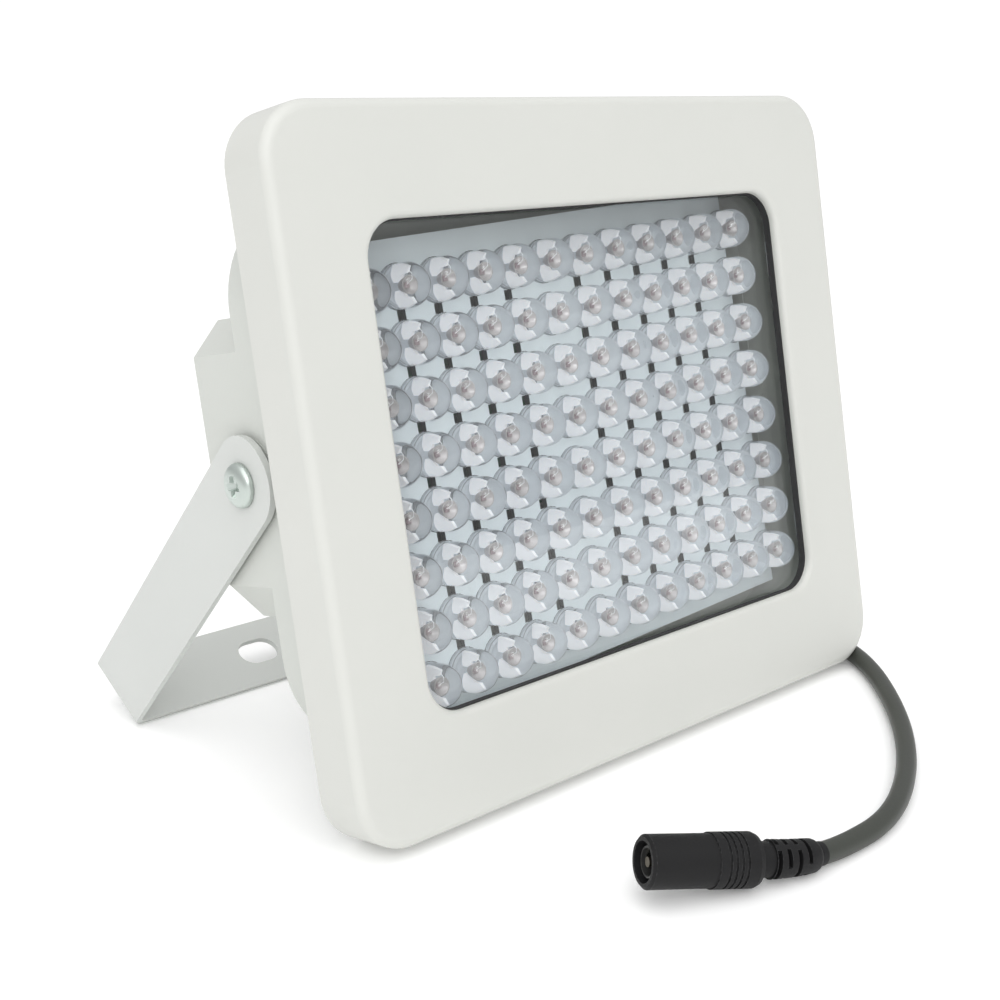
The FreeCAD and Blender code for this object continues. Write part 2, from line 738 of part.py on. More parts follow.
def arm_drop():
    """Angle of the arms below level, so that the crossbar's lower edge meets the table."""
    along = arm_reach - strip_width / 2 * math.tan(math.radians(fold_skew))
    return math.asin(pivot_place()[1] / math.hypot(along, strip_width / 2)) - math.atan2(strip_width / 2, along)


def lean_back(shape):
    moved = shape.copy()
    turn = FreeCAD.Rotation(vec(1, 0, 0), 90 - lean_deg)
    moved.Placement = FreeCAD.Placement(vec(0, 0, head_height()), turn).multiply(moved.Placement)
    return moved


def stand_bracket(shape):
    moved = shape.copy()
    y, z = pivot_place()
    turn = FreeCAD.Rotation(vec(1, 0, 0), 90 - math.degrees(arm_drop()))
    moved.Placement = FreeCAD.Placement(vec(0, y, z), turn).multiply(moved.Placement)
    return moved


def cord_level():
    return cord_diameter / 2 + cord_lift


def socket_frame():
    """Middle of the sleeve's back end, the way the mouth points, and the level direction to its left."""
    turn, tilt = math.radians(socket_heading), math.radians(socket_tilt)
    level = sleeve_diameter / 2 * math.cos(tilt) + cord_lift
    along = vec(math.cos(turn) * math.cos(tilt), math.sin(turn) * math.cos(tilt), math.sin(tilt))
    return vec(bezel_width / 2 + socket_x, socket_y, level), along, vec(-math.sin(turn), math.cos(turn), 0)


def cord_points():
    """Route of the cord: from the gland's mouth, along the table, to the back of the boot."""
    mouth, down = gland_exit()
    turn = FreeCAD.Rotation(vec(1, 0, 0), 90 - lean_deg)
    start = turn.multVec(mouth) + vec(0, 0, head_height())
    points = [start, start + turn.multVec(down) * gland_run]
    points += [vec(bezel_width / 2 + x, y, cord_level()) for x, y in cord_route]
    end, along = boot_spine(0)
    points += [end - along * plug_run, end]
    return points


def cord_bends(points):
    bends = []
    for i in range(1, len(points) - 1):
        back, on = points[i - 1].sub(points[i]), points[i + 1].sub(points[i])
        half = (math.pi - back.getAngle(on)) / 2
        bends.append(0.45 * min(back.Length, on.Length) / math.tan(half))
    return bends


def power_lead():
    points = cord_points()
    bends = cord_bends(points)
    solid, length = tube(points, cord_diameter / 2, bends)
    print("cord bends", [round(b, 1) for b in bends], "length", round(length, 1),
          "volume ratio", round(solid.Volume / (math.pi * cord_diameter ** 2 / 4 * length), 4))
    return solid


def boot_spine(share):
    """Point and direction on the bent middle line of the boot, share 0 at the cord, 1 at the neck."""
    at, along, left = socket_frame()
    radius = boot_length / math.radians(boot_turn)
    angle = math.radians(boot_turn) * (1 - share)
    at = at - along * (neck_length + radius * math.sin(angle)) - left * (radius * (1 - math.cos(angle)))
    return at, along * math.cos(angle) + left * math.sin(angle)


def strain_relief():
    start, first = boot_spine(0)
    end, last = boot_spine(1)
    spine = Part.Wire(Part.Arc(start, boot_spine(0.5)[0], end).toShape())
    circle = Part.Wire(Part.makeCircle(boot_core_diameter / 2, start, first))
    boot = spine.makePipeShell([circle], True, False)
    for i in range(boot_rings):
        share = (i + 0.5) / boot_rings
        at, along = boot_spine(share)
        wide = boot_end_diameter + (boot_start_diameter - boot_end_diameter) * share
        low = at - along * (boot_ring_length / 2)
        boot = boot.fuse(rod(wide / 2, low, low + along * boot_ring_length))
    return boot.removeSplitter()


def connector_body():
    start, along = boot_spine(1)
    groove_start = neck_length + sleeve_length - groove_end - (sleeve_grooves - 1) * groove_pitch - groove_width
    step = shoulder_share * sleeve_shoulder
    profile = [(0, 0), (0, neck_diameter / 2), (neck_length, neck_diameter / 2),
               (neck_length, sleeve_diameter / 2 - sleeve_shoulder), (neck_length + step, sleeve_diameter / 2 - step),
               (neck_length + sleeve_shoulder, sleeve_diameter / 2)]
    for i in range(sleeve_grooves):
        t = groove_start + i * groove_pitch
        profile += [(t, sleeve_diameter / 2), (t, sleeve_diameter / 2 - groove_depth),
                    (t + groove_width, sleeve_diameter / 2 - groove_depth), (t + groove_width, sleeve_diameter / 2)]
    total = neck_length + sleeve_length + barrel_length
    profile += [(neck_length + sleeve_length, sleeve_diameter / 2), (neck_length + sleeve_length, barrel_diameter / 2),
                (total - barrel_round, barrel_diameter / 2), (total, barrel_diameter / 2 - barrel_round),
                (total, socket_bore / 2), (total - socket_depth, socket_bore / 2), (total - socket_depth, 0)]
    return turned(profile, start, along)


def socket_mouth():
    start, along = boot_spine(1)
    return start + along * (neck_length + sleeve_length + barrel_length), along


def socket_insulator():
    mouth, along = socket_mouth()
    floor = mouth - along * socket_depth
    top = mouth - along * insert_back
    body = rod(socket_bore / 2 - insert_fit, floor, floor + along * insert_base)
    body = body.fuse(rod(insert_diameter / 2, floor, top)).removeSplitter()
    body = body.cut(rod(insert_diameter / 2 - insert_wall, floor + along * insert_base, top))
    return body.cut(rod(pin_diameter / 2 + insert_fit, floor, floor + along * insert_base))


def centre_pin():
    mouth, along = socket_mouth()
    floor = mouth - along * socket_depth
    pin = rod(pin_diameter / 2, floor, floor + along * (insert_base + pin_length))
    return pin


def contact_spring():
    mouth, along = socket_mouth()
    floor = mouth - along * (socket_depth - insert_base)
    outer = insert_diameter / 2 - insert_wall - insert_fit
    arc = Part.makeCylinder(outer, contact_length, vec(0, 0, 0), vec(0, 0, 1), contact_sweep)
    arc = arc.cut(Part.makeCylinder(outer - contact_thickness, contact_length, vec(0, 0, 0)))
    return place_along(arc, floor, along)


def as_one(pieces):
    return Part.makeCompound(pieces) if isinstance(pieces, list) else pieces


head_nodes = {
    "front_bezel": front_bezel(),
    "glass_seal": glass_seal(),
    "front_glass": front_glass(),
    "glass_clips": glass_clips(),
    "clip_screws": clip_screws(),
    "housing_gasket": housing_gasket(),
    "rear_housing": rear_housing(),
    "bezel_screws": bezel_screws(),
    "lamp_board": lamp_board()[0],
    "board_pads": board_pads(),
    "driver_board": driver_board(),
    "driver_screws": driver_screws(),
    "choke": choke(),
    "capacitors": capacitors(),
    "transistors": transistors(),
    "lamp_lead": lamp_lead(),
    "inner_lead": inner_lead(),
    "gland_washer": gland_washer(),
    "gland_body": gland_body(),
    "gland_locknut": gland_locknut(),
    "gland_nut": gland_nut(),
    "gland_seal": gland_seal(),
    "pivot_screws": pivot_screws(),
    "pivot_washers": pivot_washers(),
}
for number in range(lamp_rows):
    head_nodes["lamp_row_%d" % (number + 1)] = lamp_row(number)

placed = {name: lean_back(as_one(pieces)) for name, pieces in head_nodes.items()}
placed["bracket"] = stand_bracket(bracket())
cord_pieces = {
    "power_lead": power_lead(),
    "strain_relief": strain_relief(),
    "connector_body": connector_body(),
    "socket_insulator": socket_insulator(),
    "centre_pin": centre_pin(),
    "contact_spring": contact_spring(),
}

# The origin lies under the middle of the lamp and bracket, on the table
boxes = [placed[name].optimalBoundingBox(False, False) for name in ("front_bezel", "pivot_screws", "bracket")]
middle_y = (min(b.YMin for b in boxes) + max(b.YMax for b in boxes)) / 2
placed.update(cord_pieces)
os.makedirs("parts", exist_ok=True)
for name, shape in placed.items():
    shape.translate(vec(0, -middle_y, 0))
    shape.exportStep("parts/%s.step" % name)
print("nodes", len(placed), "middle", round(middle_y, 3), "arm drop", round(math.degrees(arm_drop()), 2))
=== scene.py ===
import bpy
import bmesh
import math
from mathutils import Matrix, Vector


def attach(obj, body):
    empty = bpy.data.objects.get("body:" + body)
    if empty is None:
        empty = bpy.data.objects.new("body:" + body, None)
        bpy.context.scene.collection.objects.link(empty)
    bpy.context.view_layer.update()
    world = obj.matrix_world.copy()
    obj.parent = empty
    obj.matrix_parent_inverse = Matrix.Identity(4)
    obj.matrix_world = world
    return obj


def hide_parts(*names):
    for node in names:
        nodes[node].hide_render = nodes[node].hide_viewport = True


# Infrared floodlight head: off-white powder-coated casting, 96 clear lamps behind glass,
# a folded bracket that swings on two screws, and a short black lead with a socket.

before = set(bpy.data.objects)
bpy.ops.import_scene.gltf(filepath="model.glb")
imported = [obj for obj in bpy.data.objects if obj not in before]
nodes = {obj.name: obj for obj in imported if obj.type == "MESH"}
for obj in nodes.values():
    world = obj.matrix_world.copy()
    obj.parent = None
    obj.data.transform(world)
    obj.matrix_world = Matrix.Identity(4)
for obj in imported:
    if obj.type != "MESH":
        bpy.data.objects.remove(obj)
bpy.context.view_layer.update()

# where the head's own axes lie: x right, y up its face, z out of its front, millimetres
headStance = {
    "lean": math.radians(11.2),
    "seat": (0.0, -44.332197, 77.56567),
}
headOutward = (0.0, -math.cos(headStance["lean"]), math.sin(headStance["lean"]))


def headPoint(x, y, z):
    c, s = math.cos(headStance["lean"]), math.sin(headStance["lean"])
    ox, oy, oz = headStance["seat"]
    return Vector((x + ox, y * s - z * c + oy, y * c + z * s + oz)) / 1000


def headFrame(x, y, z, turn=0.0):
    c, s = math.cos(headStance["lean"]), math.sin(headStance["lean"])
    axes = Matrix(((1, 0, 0), (0, s, -c), (0, c, s))).to_4x4()
    spot = Matrix.Translation(headPoint(x, y, z))
    return spot @ axes @ Matrix.Rotation(turn, 4, "Z") @ Matrix.Scale(0.001, 4)


cameraView = {
    "place": (-0.24815, -0.27407, 0.15383),
    "turn": (74.456, 0.0, -42.393),
    "lens": 53.30,
    "sensor": 36.0,
    "reach": (0.01, 50),
}


def setCamera():
    data = bpy.data.cameras.new("productCamera")
    data.lens, data.sensor_width = cameraView["lens"], cameraView["sensor"]
    data.clip_start, data.clip_end = cameraView["reach"]
    camera = bpy.data.objects.new("productCamera", data)
    camera.location = cameraView["place"]
    camera.rotation_euler = [math.radians(a) for a in cameraView["turn"]]
    bpy.context.scene.collection.objects.link(camera)
    bpy.context.scene.camera = camera


setCamera()
print("camera placed")

powerLead = {
    "route": [
        (0.052, -0.016828, 0.027011), (0.052, -0.019644, 0.012787),
        (0.0618, -0.017732, 0.00245), (0.0755, -0.016732, 0.00245),
        (0.0853, -0.023332, 0.00245), (0.0904, -0.0348, 0.00245),
        (0.0842, -0.0592, 0.00245), (0.0590, -0.0868, 0.00245),
        (0.0340, -0.1060, 0.00245), (0.0090, -0.1178, 0.00245),
        (-0.011008, -0.118004, 0.002465), (-0.016408, -0.11731, 0.003243),
    ],
    "diameter": 0.0047,
    "length": 0.209,
    "roundness": 10,
    "smoothness": 10,
}


def layPowerLead():
    curve = bpy.data.curves.new("powerLead", "CURVE")
    curve.dimensions = "3D"
    curve.bevel_depth = 1.0  # the points hold the radius
    curve.bevel_resolution = powerLead["roundness"]
    curve.resolution_u = powerLead["smoothness"]
    curve.use_fill_caps = True
    line = curve.splines.new("NURBS")
    line.points.add(len(powerLead["route"]) - 1)
    for point, place in zip(line.points, powerLead["route"]):
        point.co = (*place, 1)
        point.radius = powerLead["diameter"] / 2
    line.use_endpoint_u = True
    line.order_u = 3
    lead = bpy.data.objects.new("powerLead", curve)
    bpy.context.scene.collection.objects.link(lead)
    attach(lead, "head")
    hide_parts("power_lead")
    return lead


lead = layPowerLead()
print("power lead laid")

grainForm = {
    "coarseDetail": 2, "fineDetail": 3,
    "fineShare": 0.45,                           # of the height, next to the coarse noise
    "blotchScale": 28, "blotchDetail": 4,
}
edgeForm = {
    "samples": 4,
    "match": (0.995, 0.90),                      # true and rounded normal's agreement, from flat to rubbed
    "breakup": (0.40, 0.62),
}


def addSocket(group, name, way, kind, value=None):
    socket = group.interface.new_socket(name=name, in_out=way, socket_type=kind)
    if value is not None:
        socket.default_value = value


def place(tree, kind, x=0, y=0, **settings):
    node = tree.nodes.new(kind)
    node.location = (x, y)
    for name, value in settings.items():
        setattr(node, name, value)
    return node


def makeGrain():
    group = bpy.data.node_groups.new("surfaceGrain", "ShaderNodeTree")
    addSocket(group, "Coarse", "INPUT", "NodeSocketFloat", 400)
    addSocket(group, "Fine", "INPUT", "NodeSocketFloat", 2200)
    addSocket(group, "Height", "OUTPUT", "NodeSocketFloat")
    addSocket(group, "Blotch", "OUTPUT", "NodeSocketFloat")
    enter, leave = place(group, "NodeGroupInput", -700), place(group, "NodeGroupOutput", 500)
    where = place(group, "ShaderNodeTexCoord", -700, -200)
    coarse = place(group, "ShaderNodeTexNoise", -400, 150)
    coarse.inputs["Detail"].default_value = grainForm["coarseDetail"]
    fine = place(group, "ShaderNodeTexNoise", -400, -150)
    fine.inputs["Detail"].default_value = grainForm["fineDetail"]
    blotch = place(group, "ShaderNodeTexNoise", -400, -450)
    blotch.inputs["Scale"].default_value = grainForm["blotchScale"]
    blotch.inputs["Detail"].default_value = grainForm["blotchDetail"]
    for noise in (coarse, fine, blotch):
        group.links.new(where.outputs["Object"], noise.inputs["Vector"])
    group.links.new(enter.outputs["Coarse"], coarse.inputs["Scale"])
    group.links.new(enter.outputs["Fine"], fine.inputs["Scale"])
    share = place(group, "ShaderNodeMath", -150, 0, operation="MULTIPLY")
    share.inputs[1].default_value = grainForm["fineShare"]
    total = place(group, "ShaderNodeMath", 100, 60, operation="ADD")
    group.links.new(fine.outputs["Fac"], share.inputs[0])
    group.links.new(coarse.outputs["Fac"], total.inputs[0])
    group.links.new(share.outputs[0], total.inputs[1])
    group.links.new(total.outputs[0], leave.inputs["Height"])
    group.links.new(blotch.outputs["Fac"], leave.inputs["Blotch"])
    return group


def makeEdgeRub():
    group = bpy.data.node_groups.new("edgeRub", "ShaderNodeTree")
    addSocket(group, "Width", "INPUT", "NodeSocketFloat", 0.0004)
    addSocket(group, "Breakup", "INPUT", "NodeSocketFloat", 600)
    addSocket(group, "Edge", "OUTPUT", "NodeSocketFloat")
    enter, leave = place(group, "NodeGroupInput", -800), place(group, "NodeGroupOutput", 600)
    rounded = place(group, "ShaderNodeBevel", -550, 150, samples=edgeForm["samples"])
    group.links.new(enter.outputs["Width"], rounded.inputs["Radius"])
    true = place(group, "ShaderNodeNewGeometry", -550, -100)
    match = place(group, "ShaderNodeVectorMath", -300, 50, operation="DOT_PRODUCT")
    group.links.new(rounded.outputs["Normal"], match.inputs[0])
    group.links.new(true.outputs["Normal"], match.inputs[1])
    sharp = place(group, "ShaderNodeMapRange", -80, 50)
    sharp.inputs["From Min"].default_value = edgeForm["match"][0]
    sharp.inputs["From Max"].default_value = edgeForm["match"][1]
    group.links.new(match.outputs["Value"], sharp.inputs["Value"])
    where = place(group, "ShaderNodeTexCoord", -550, -350)
    noise = place(group, "ShaderNodeTexNoise", -300, -300)
    group.links.new(where.outputs["Object"], noise.inputs["Vector"])
    group.links.new(enter.outputs["Breakup"], noise.inputs["Scale"])
    mask = place(group, "ShaderNodeMapRange", -80, -250)
    mask.inputs["From Min"].default_value = edgeForm["breakup"][0]
    mask.inputs["From Max"].default_value = edgeForm["breakup"][1]
    group.links.new(noise.outputs["Fac"], mask.inputs["Value"])
    both = place(group, "ShaderNodeMath", 200, 0, operation="MULTIPLY")
    group.links.new(sharp.outputs["Result"], both.inputs[0])
    group.links.new(mask.outputs["Result"], both.inputs[1])
    group.links.new(both.outputs[0], leave.inputs["Edge"])
    return group


surfaceGrain = makeGrain()
edgeRub = makeEdgeRub()


def useGroup(tree, group, x, y, **values):
    node = place(tree, "ShaderNodeGroup", x, y, node_tree=group)
    for name, value in values.items():
        node.inputs[name].default_value = value
    return node


def newFinish(name):
    material = bpy.data.materials.new(name)
    material.use_nodes = True
    shader = material.node_tree.nodes["Principled BSDF"]
    return material, material.node_tree, shader


def blend(tree, first, second, factor, x=-250, y=200):
    mix = place(tree, "ShaderNodeMix", x, y, data_type="RGBA")
    for socket, colour in ((mix.inputs["A"], first), (mix.inputs["B"], second)):
        if isinstance(colour, tuple):
            socket.default_value = (*colour, 1)
        else:
            tree.links.new(colour, socket)
    tree.links.new(factor, mix.inputs["Factor"])
    return mix.outputs["Result"]


def spread(tree, value, low, high, x=-250, y=-50, fromLow=0.3, fromHigh=0.7):
    ranged = place(tree, "ShaderNodeMapRange", x, y)
    for name, number in (("From Min", fromLow), ("From Max", fromHigh),
                         ("To Min", low), ("To Max", high)):
        ranged.inputs[name].default_value = number
    tree.links.new(value, ranged.inputs["Value"])
    return ranged.outputs["Result"]


def bump(tree, shader, height, strength, distance):
    node = place(tree, "ShaderNodeBump", -250, -300)
    node.inputs["Strength"].default_value = strength
    node.inputs["Distance"].default_value = distance
    tree.links.new(height, node.inputs["Height"])
    tree.links.new(node.outputs["Normal"], shader.inputs["Normal"])


# Grained finish: two close colours that drift into each other, a fine bump, and if its look asks for
# them a rubbed edge, painted shade on edges and hole walls, a painted glow or a clear coat.
def grainedFinish(name, look):
    material, tree, shader = newFinish(name)
    grain = useGroup(tree, surfaceGrain, -700, 0, Coarse=look["coarse"], Fine=look["fine"])
    tone = spread(tree, grain.outputs["Blotch"], 0.0, 1.0, x=-500, y=200)
    colour = blend(tree, look["colour"], look["drift"], tone)
    if "edge" in look:
        rub = useGroup(tree, edgeRub, -700, 350, Width=look["edgeWidth"], Breakup=look["coarse"])
        colour = blend(tree, colour, look["edge"], rub.outputs["Edge"], x=-50, y=300)
    if "cut" in look:                            # painted shade on edges and hole walls, not on front and back
        facing = place(tree, "ShaderNodeVectorMath", -500, 650, operation="DOT_PRODUCT")
        facing.inputs[1].default_value = headOutward
        sense = place(tree, "ShaderNodeTexCoord", -700, 650)
        tree.links.new(sense.outputs["Normal"], facing.inputs[0])
        size = place(tree, "ShaderNodeMath", -300, 650, operation="ABSOLUTE")
        tree.links.new(facing.outputs["Value"], size.inputs[0])
        flat = spread(tree, size.outputs[0], 0.0, 1.0, x=-100, y=650, fromLow=0.6, fromHigh=0.8)
        colour = blend(tree, look["cut"], colour, flat, x=100, y=500)
    tree.links.new(colour, shader.inputs["Base Color"])
    tree.links.new(spread(tree, grain.outputs["Blotch"], *look["rough"]), shader.inputs["Roughness"])
    shader.inputs["Metallic"].default_value = look.get("metal", 0.0)
    shader.inputs["Specular IOR Level"].default_value = look.get("specular", 0.5)
    if "paintedGlow" in look:                           # painted glow: emission standing in for light that the dome gathers on what stands inside it
        shader.inputs["Emission Color"].default_value = (*look["colour"], 1)
        shader.inputs["Emission Strength"].default_value = look["paintedGlow"]
    if "coat" in look:
        shader.inputs["Coat Weight"].default_value = look["coat"]
        shader.inputs["Coat Roughness"].default_value = look["coatRough"]
    bump(tree, shader, grain.outputs["Height"], look["bump"], look["depth"])
    return material


# Clear finish: it refracts what is seen through it, and lets the studio's light pass straight on.
def clearFinish(name, look):
    material, tree, shader = newFinish(name)
    grain = useGroup(tree, surfaceGrain, -700, 0, Coarse=look["coarse"], Fine=look["fine"])
    tone = spread(tree, grain.outputs["Blotch"], 0.0, 1.0, x=-500, y=200)
    tree.links.new(blend(tree, look["colour"], look["drift"], tone), shader.inputs["Base Color"])
    tree.links.new(spread(tree, grain.outputs["Blotch"], *look["rough"]), shader.inputs["Roughness"])
    shader.inputs["IOR"].default_value = look["ior"]
    shader.inputs["Transmission Weight"].default_value = look["clear"]
    bump(tree, shader, grain.outputs["Height"], look["bump"], look["depth"])
    path = place(tree, "ShaderNodeLightPath", 100, 500)
    through = place(tree, "ShaderNodeBsdfTransparent", 100, -350)
    through.inputs["Color"].default_value = (*look["shade"], 1)
    mix = place(tree, "ShaderNodeMixShader", 400, 100)
    tree.links.new(path.outputs["Is Shadow Ray"], mix.inputs[0])
    tree.links.new(shader.outputs[0], mix.inputs[1])
    tree.links.new(through.outputs[0], mix.inputs[2])
    leave = tree.nodes["Material Output"]
    leave.location = (650, 100)
    tree.links.new(mix.outputs[0], leave.inputs["Surface"])
    return material


finishes = {
    "powderCoat": {"colour": (0.624, 0.630, 0.595), "drift": (0.608, 0.616, 0.581), "rough": (0.40, 0.47),
                   "coarse": 900, "fine": 3000, "bump": 0.20, "depth": 0.00012, "specular": 0.5},
    # the rear housing wears the bezel's powder coat, darkened a little as painted shade
    "housingCoatPaintedShade": {"colour": (0.585, 0.600, 0.565), "drift": (0.570, 0.588, 0.552), "rough": (0.42, 0.50),
                    "coarse": 900, "fine": 3000, "bump": 0.22, "depth": 0.00012},
    "bracketCoat": {"colour": (0.600, 0.616, 0.593), "drift": (0.585, 0.602, 0.579), "rough": (0.42, 0.50),
                    "coarse": 900, "fine": 3000, "bump": 0.20, "depth": 0.00012,
                    "edge": (0.70, 0.71, 0.69), "edgeWidth": 0.0003},
    "blackRubber": {"colour": (0.020, 0.020, 0.021), "drift": (0.030, 0.030, 0.031), "rough": (0.60, 0.75),
                    "coarse": 1500, "fine": 5000, "bump": 0.3, "depth": 0.0001},
    "leadJacket": {"colour": (0.036, 0.040, 0.033), "drift": (0.044, 0.048, 0.040), "rough": (0.40, 0.48),
                   "coarse": 1400, "fine": 5200, "bump": 0.25, "depth": 0.0001, "specular": 0.42},
    "socketPlastic": {"colour": (0.012, 0.012, 0.0125), "drift": (0.015, 0.015, 0.0155),
                      "rough": (0.46, 0.56), "coarse": 1700, "fine": 6000, "bump": 0.35, "depth": 0.00012,
                      "specular": 0.16, "edge": (0.075, 0.075, 0.077), "edgeWidth": 0.0002},
    "socketLiner": {"colour": (0.030, 0.030, 0.029), "drift": (0.042, 0.042, 0.041), "rough": (0.35, 0.45),
                    "coarse": 1700, "fine": 6000, "bump": 0.15, "depth": 0.0001},
    "zincPlate": {"colour": (0.60, 0.65, 0.62), "drift": (0.50, 0.56, 0.52), "rough": (0.32, 0.42),
                  "metal": 1.0, "coarse": 1800, "fine": 5000, "bump": 0.12, "depth": 0.00006,
                  "edge": (0.90, 0.90, 0.90), "edgeWidth": 0.0002},
    "springSteel": {"colour": (0.60, 0.60, 0.59), "drift": (0.52, 0.52, 0.52), "rough": (0.24, 0.34),
                    "metal": 1.0, "coarse": 1500, "fine": 5200, "bump": 0.15, "depth": 0.00006},
    "nickelPlate": {"colour": (0.42, 0.42, 0.37), "drift": (0.34, 0.34, 0.30), "rough": (0.22, 0.32),
                    "metal": 1.0, "coarse": 1800, "fine": 6000, "bump": 0.1, "depth": 0.00005},
    "socketPin": {"colour": (0.13, 0.115, 0.09), "drift": (0.10, 0.09, 0.07), "rough": (0.35, 0.45),
                  "metal": 1.0, "coarse": 1800, "fine": 6000, "bump": 0.1, "depth": 0.00005},
    # the board's edges and hole walls get a near-black painted shade
    "lampBoard": {"colour": (0.90, 0.96, 0.99), "drift": (0.87, 0.93, 0.97), "rough": (0.26, 0.36),
                  "coarse": 1200, "fine": 4200, "bump": 0.10, "depth": 0.00005,
                  "coat": 0.3, "coatRough": 0.15, "cut": (0.045, 0.05, 0.048)},
    "greenBoard": {"colour": (0.020, 0.13, 0.055), "drift": (0.026, 0.16, 0.07), "rough": (0.26, 0.36),
                   "coarse": 1200, "fine": 4200, "bump": 0.12, "depth": 0.00005,
                   "coat": 0.4, "coatRough": 0.12},
    "heatPad": {"colour": (0.30, 0.31, 0.33), "drift": (0.25, 0.26, 0.28), "rough": (0.75, 0.9),
                "coarse": 900, "fine": 3200, "bump": 0.4, "depth": 0.0002},
    "ferrite": {"colour": (0.06, 0.06, 0.065), "drift": (0.09, 0.09, 0.095), "rough": (0.6, 0.8),
                "coarse": 1300, "fine": 4200, "bump": 0.4, "depth": 0.00015},
    "canAluminium": {"colour": (0.72, 0.72, 0.74), "drift": (0.64, 0.64, 0.66), "rough": (0.26, 0.38),
                     "metal": 1.0, "coarse": 1500, "fine": 5200, "bump": 0.12, "depth": 0.00005},
    "blackMoulding": {"colour": (0.022, 0.022, 0.023), "drift": (0.030, 0.030, 0.031), "rough": (0.5, 0.62),
                      "coarse": 1600, "fine": 5200, "bump": 0.35, "depth": 0.00012},
    "redJacket": {"colour": (0.46, 0.02, 0.015), "drift": (0.38, 0.016, 0.012), "rough": (0.4, 0.5),
                  "coarse": 1400, "fine": 5000, "bump": 0.2, "depth": 0.00008},
    # the lamp frame glows a little: a painted glow standing in for light the dome gathers
    "lampFrame": {"colour": (0.93, 0.93, 0.95), "drift": (0.88, 0.88, 0.91), "rough": (0.45, 0.55),
                  "metal": 0.2, "paintedGlow": 0.32, "coarse": 2600, "fine": 7000, "bump": 0.1, "depth": 0.00004},
    "lampCup": {"colour": (0.66, 0.61, 0.61), "drift": (0.48, 0.44, 0.44), "rough": (0.40, 0.50),
                "metal": 0.4, "coarse": 2600, "fine": 7000, "bump": 0.1, "depth": 0.00004},
    "lampFoot": {"colour": (0.80, 0.84, 0.88), "drift": (0.70, 0.74, 0.79), "rough": (0.3, 0.4),
                 "coarse": 2600, "fine": 7000, "bump": 0.1, "depth": 0.00004},
    # dark grey for the thin rim round each lamp's foot: a painted shade line
    "lampRimPaintedShade": {"colour": (0.30, 0.31, 0.33), "drift": (0.22, 0.23, 0.25), "rough": (0.4, 0.5),
                  "coarse": 2600, "fine": 7000, "bump": 0.1, "depth": 0.00004},
    "lampDie": {"colour": (0.30, 0.22, 0.24), "drift": (0.36, 0.27, 0.28), "rough": (0.3, 0.4),
                "coarse": 2600, "fine": 7000, "bump": 0.1, "depth": 0.00004},
}
clearFinishes = {
    "frontGlass": {"colour": (0.97, 0.99, 0.985), "drift": (0.96, 0.985, 0.98), "rough": (0.0, 0.012),
                   "coarse": 60, "fine": 240, "bump": 0.02, "depth": 0.00002,
                   "ior": 1.50, "clear": 1.0, "shade": (0.95, 0.97, 0.96)},
    "clearEpoxy": {"colour": (0.955, 0.955, 0.975), "drift": (0.945, 0.945, 0.97), "rough": (0.01, 0.03),
                   "coarse": 500, "fine": 1500, "bump": 0.03, "depth": 0.00004,
                   "ior": 1.52, "clear": 0.96, "shade": (0.96, 0.96, 0.98)},
}
made = {name: grainedFinish(name, look) for name, look in finishes.items()}
made.update({name: clearFinish(name, look) for name, look in clearFinishes.items()})

# what each carried-over CAD piece is finished in
finishOfNode = {
    "front_bezel": "powderCoat", "rear_housing": "housingCoatPaintedShade", "bracket": "bracketCoat",
    "glass_seal": "blackRubber", "front_glass": "frontGlass", "glass_clips": "springSteel",
    "clip_screws": "zincPlate", "housing_gasket": "blackRubber", "bezel_screws": "zincPlate",
    "lamp_board": "lampBoard", "board_pads": "heatPad", "driver_board": "greenBoard",
    "driver_screws": "zincPlate", "choke": "ferrite", "capacitors": "canAluminium",
    "transistors": "blackMoulding", "lamp_lead": "redJacket", "inner_lead": "leadJacket",
    "gland_washer": "blackRubber", "gland_body": "blackMoulding", "gland_locknut": "blackMoulding",
    "gland_nut": "blackMoulding", "gland_seal": "blackRubber", "pivot_washers": "blackRubber",
    "connector_body": "socketPlastic", "socket_insulator": "socketLiner", "centre_pin": "socketPin",
    "contact_spring": "nickelPlate",
}


def dress(piece, finish):
    piece.data.materials.clear()
    piece.data.materials.append(made[finish])


for nodeName, finish in finishOfNode.items():
    dress(nodes[nodeName], finish)
dress(lead, "leadJacket")
print("finishes made:", len(made))

